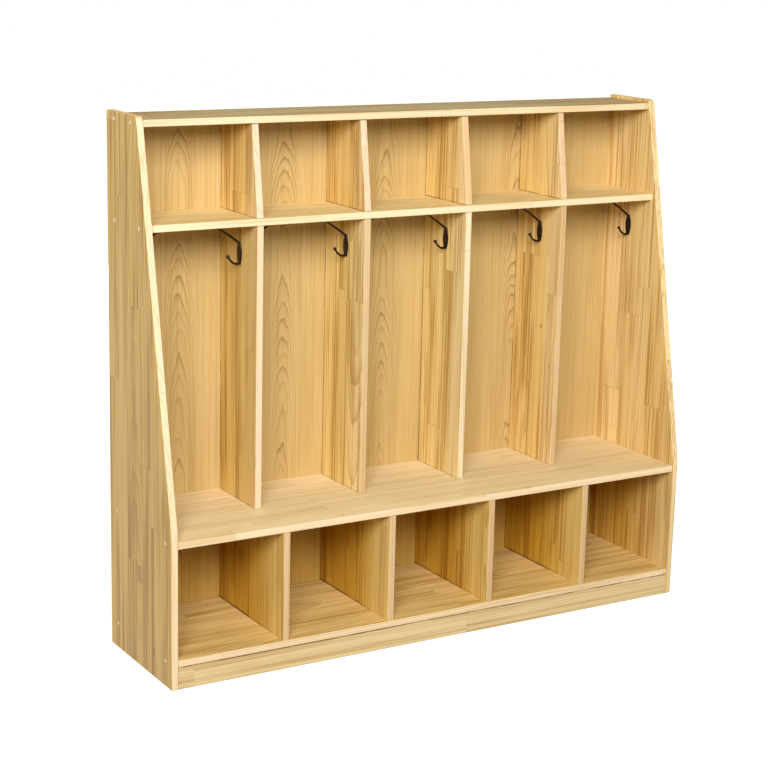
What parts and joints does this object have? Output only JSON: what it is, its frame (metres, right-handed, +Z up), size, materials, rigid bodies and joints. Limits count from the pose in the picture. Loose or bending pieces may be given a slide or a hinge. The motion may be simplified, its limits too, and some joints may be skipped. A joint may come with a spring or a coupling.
{
  "type": "mudroom coat locker",
  "caption": "Free-standing pine coat locker: bays side by side with hat cubbies above, coat hooks, a bench seat and shoe cubbies below, between slanted side panels.",
  "frame": {"origin": "middle of the footprint, on the floor", "axes": "+X along the row of bays to the right as seen from the front, +Y to the back, towards the wall, +Z up"},
  "size_m": [1.372, 0.33, 1.219],
  "materials": {
    "pine_board": "edge-glued, finger-jointed pine under clear satin lacquer, paler on the eased edges",
    "pine_plywood": "flat-sawn pine veneer on plywood under clear satin lacquer",
    "dowel_wood": "pale hardwood end grain, sanded flush and lacquered",
    "hook_bronze": "dark brown bronze finish, smooth and semi-glossy"
  },
  "bodies": {
    "root": {"left_side_panel": "pine_board", "right_side_panel": "pine_board", "top_panel": "pine_board", "hat_shelf": "pine_board", "bench_seat": "pine_board", "bottom_shelf": "pine_board", "kick_board": "pine_board", "back_panel": "pine_plywood", "upper_divider_1": "pine_board", "middle_divider_1": "pine_board", "lower_divider_1": "pine_board", "upper_divider_2": "pine_board", "middle_divider_2": "pine_board", "lower_divider_2": "pine_board", "upper_divider_3": "pine_board", "middle_divider_3": "pine_board", "lower_divider_3": "pine_board", "upper_divider_4": "pine_board", "middle_divider_4": "pine_board", "lower_divider_4": "pine_board", "side_dowel_left_top_panel_front": "dowel_wood", "side_dowel_left_top_panel_back": "dowel_wood", "side_dowel_left_hat_shelf_front": "dowel_wood", "side_dowel_left_hat_shelf_back": "dowel_wood", "side_dowel_left_bench_seat_front": "dowel_wood", "side_dowel_left_bench_seat_back": "dowel_wood", "side_dowel_left_bottom_shelf_front": "dowel_wood", "side_dowel_left_bottom_shelf_back": "dowel_wood", "side_dowel_right_top_panel_front": "dowel_wood", "side_dowel_right_top_panel_back": "dowel_wood", "side_dowel_right_hat_shelf_front": "dowel_wood", "side_dowel_right_hat_shelf_back": "dowel_wood", "side_dowel_right_bench_seat_front": "dowel_wood", "side_dowel_right_bench_seat_back": "dowel_wood", "side_dowel_right_bottom_shelf_front": "dowel_wood", "side_dowel_right_bottom_shelf_back": "dowel_wood", "kick_dowel_1": "dowel_wood", "kick_dowel_2": "dowel_wood", "kick_dowel_3": "dowel_wood", "coat_hook_bay_1_left": "hook_bronze", "coat_hook_bay_1_right": "hook_bronze", "coat_hook_bay_2_left": "hook_bronze", "coat_hook_bay_2_right": "hook_bronze", "coat_hook_bay_3_left": "hook_bronze", "coat_hook_bay_3_right": "hook_bronze", "coat_hook_bay_4_left": "hook_bronze", "coat_hook_bay_4_right": "hook_bronze", "coat_hook_bay_5_left": "hook_bronze", "coat_hook_bay_5_right": "hook_bronze"}
  },
  "joints": []
}
